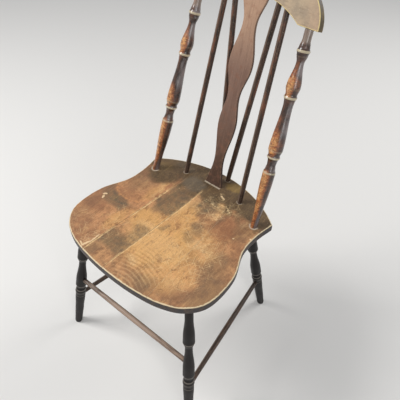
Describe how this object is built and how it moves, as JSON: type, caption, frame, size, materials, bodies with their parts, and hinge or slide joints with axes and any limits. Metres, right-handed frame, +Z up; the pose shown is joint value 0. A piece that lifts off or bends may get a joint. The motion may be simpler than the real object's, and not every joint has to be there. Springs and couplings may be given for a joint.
{
  "type": "side chair",
  "caption": "Side chair with a glued-up plank seat, turned legs and posts, plain spindles, a waved splat and a bowed crest rail, in a worn dark finish.",
  "frame": {"origin": "on the floor, under the middle of the chair's whole width and depth", "axes": "+Z up, -Y towards the front of the chair, +X to the right as seen from the front"},
  "size_m": [0.4572, 0.4982, 0.9457],
  "materials": {
    "seat_finish": "dark finish worn through to golden wood, satin",
    "leg_finish": "dark painted, worn at the turned edges, satin",
    "stretcher_finish": "dark finish rubbed pale along the top",
    "post_finish": "dark crazed varnish, worn orange-brown on the swells, glossy",
    "spindle_finish": "dark brown varnish, glossy",
    "splat_finish": "reddish-brown, matt",
    "crest_finish": "greyed, worn to pale wood along the edges"
  },
  "bodies": {
    "root": {"seat_board_left": "seat_finish", "seat_board_mid_left": "seat_finish", "seat_board_mid_right": "seat_finish", "seat_board_right": "seat_finish", "front_left_leg": "leg_finish", "front_right_leg": "leg_finish", "back_left_leg": "leg_finish", "back_right_leg": "leg_finish", "front_stretcher": "stretcher_finish", "back_stretcher": "stretcher_finish", "left_stretcher": "stretcher_finish", "right_stretcher": "stretcher_finish", "left_post": "post_finish", "right_post": "post_finish", "left_outer_spindle": "spindle_finish", "left_inner_spindle": "spindle_finish", "right_inner_spindle": "spindle_finish", "right_outer_spindle": "spindle_finish", "splat": "splat_finish", "crest_rail": "crest_finish"}
  },
  "joints": []
}
